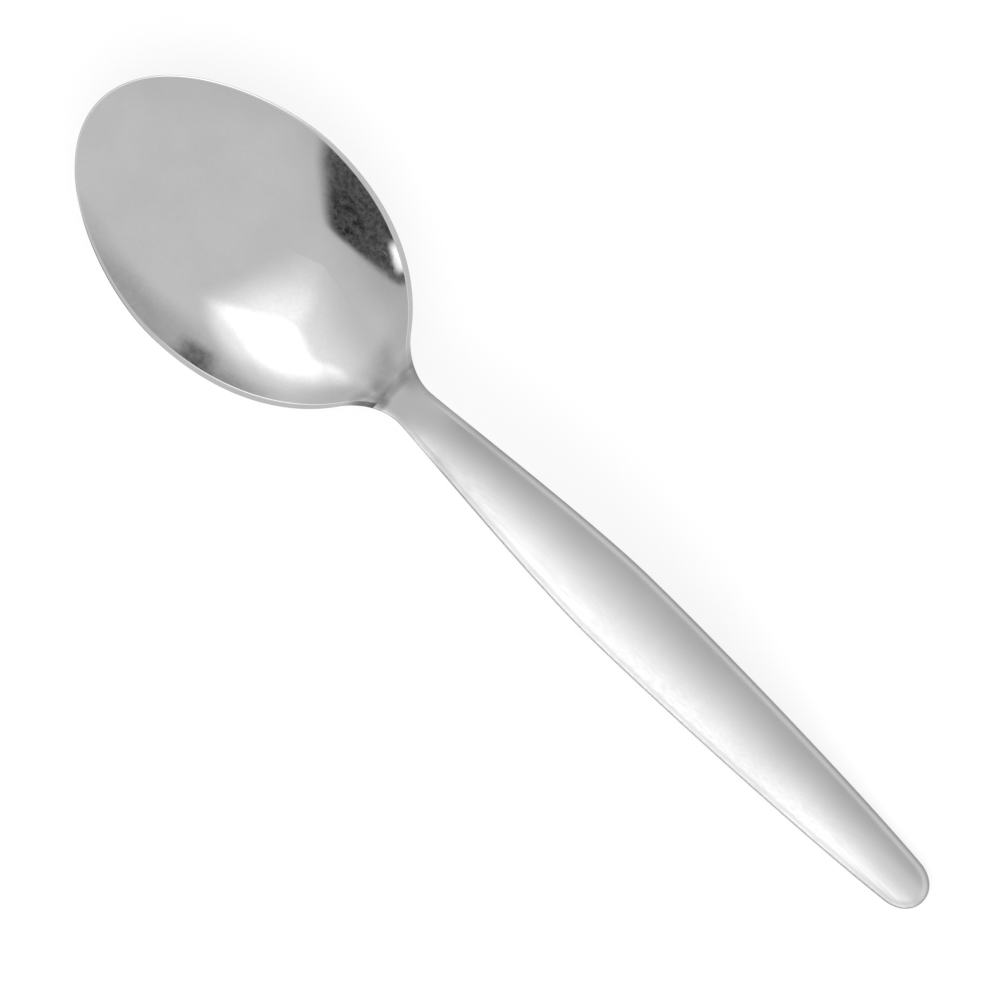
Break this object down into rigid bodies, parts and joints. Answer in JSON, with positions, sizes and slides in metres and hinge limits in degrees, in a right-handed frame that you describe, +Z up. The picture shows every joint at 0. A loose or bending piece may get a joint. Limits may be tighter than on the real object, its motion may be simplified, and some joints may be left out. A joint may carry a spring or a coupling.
{
  "type": "demitasse spoon",
  "caption": "Small plain steel coffee spoon with an oval dished bowl, a narrow flat neck and a gently arched, crowned handle that ends in a round tip.",
  "frame": {"origin": "on the table, under the middle of the spoon's length and width", "axes": "+X along the spoon from the handle's end to the bowl's tip, +Y across it, +Z up from the table, with the hollow side up"},
  "size_m": [0.114, 0.0264, 0.0105],
  "materials": {
    "polished_steel": "polished stainless steel with a soft mirror and fine wear scratches",
    "satin_steel": "satin-polished stainless steel with faint lengthwise polishing lines"
  },
  "bodies": {
    "root": {"bowl": "polished_steel", "neck": "satin_steel", "handle": "satin_steel"}
  },
  "joints": []
}
